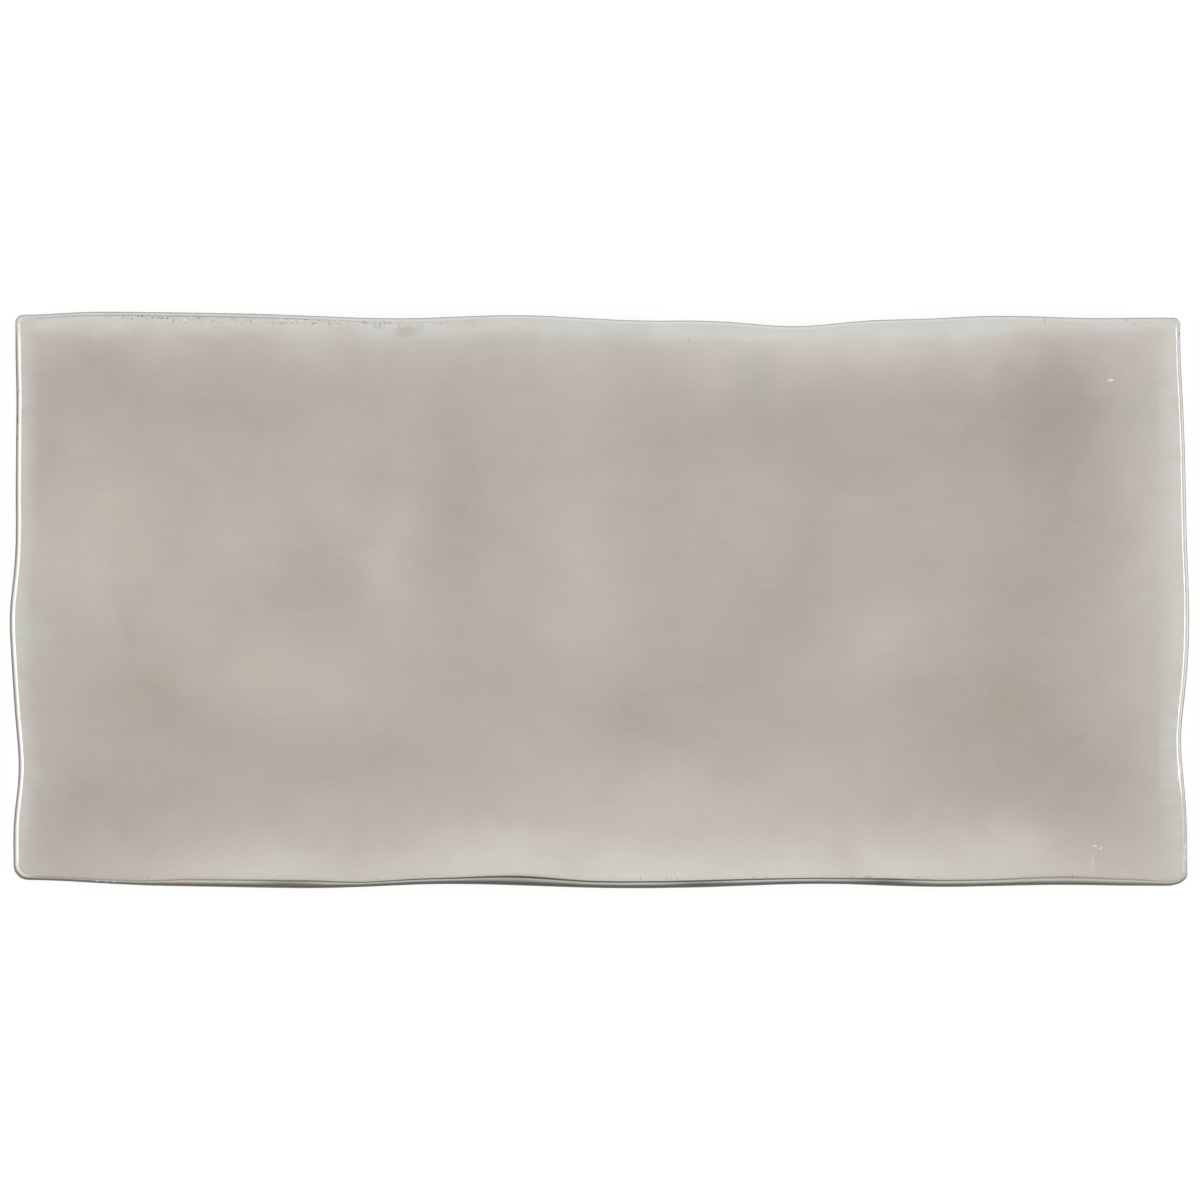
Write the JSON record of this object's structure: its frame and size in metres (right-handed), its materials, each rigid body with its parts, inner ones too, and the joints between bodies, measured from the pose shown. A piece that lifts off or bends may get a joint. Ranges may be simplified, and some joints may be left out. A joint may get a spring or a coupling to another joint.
{
  "type": "ceramic wall tile",
  "caption": "Rectangular glazed ceramic wall tile with hand-cut wavy edges, an uneven gloss face and a keyed back for bonding to a wall.",
  "frame": {"origin": "middle of the flat back, which is bedded on the wall", "axes": "+X along the length, +Y across the width, +Z out of the glazed face"},
  "size_m": [0.152, 0.0743, 0.0089],
  "materials": {
    "glaze": "gloss"
  },
  "bodies": {
    "root": {"wall_tile": "glaze"}
  },
  "joints": []
}
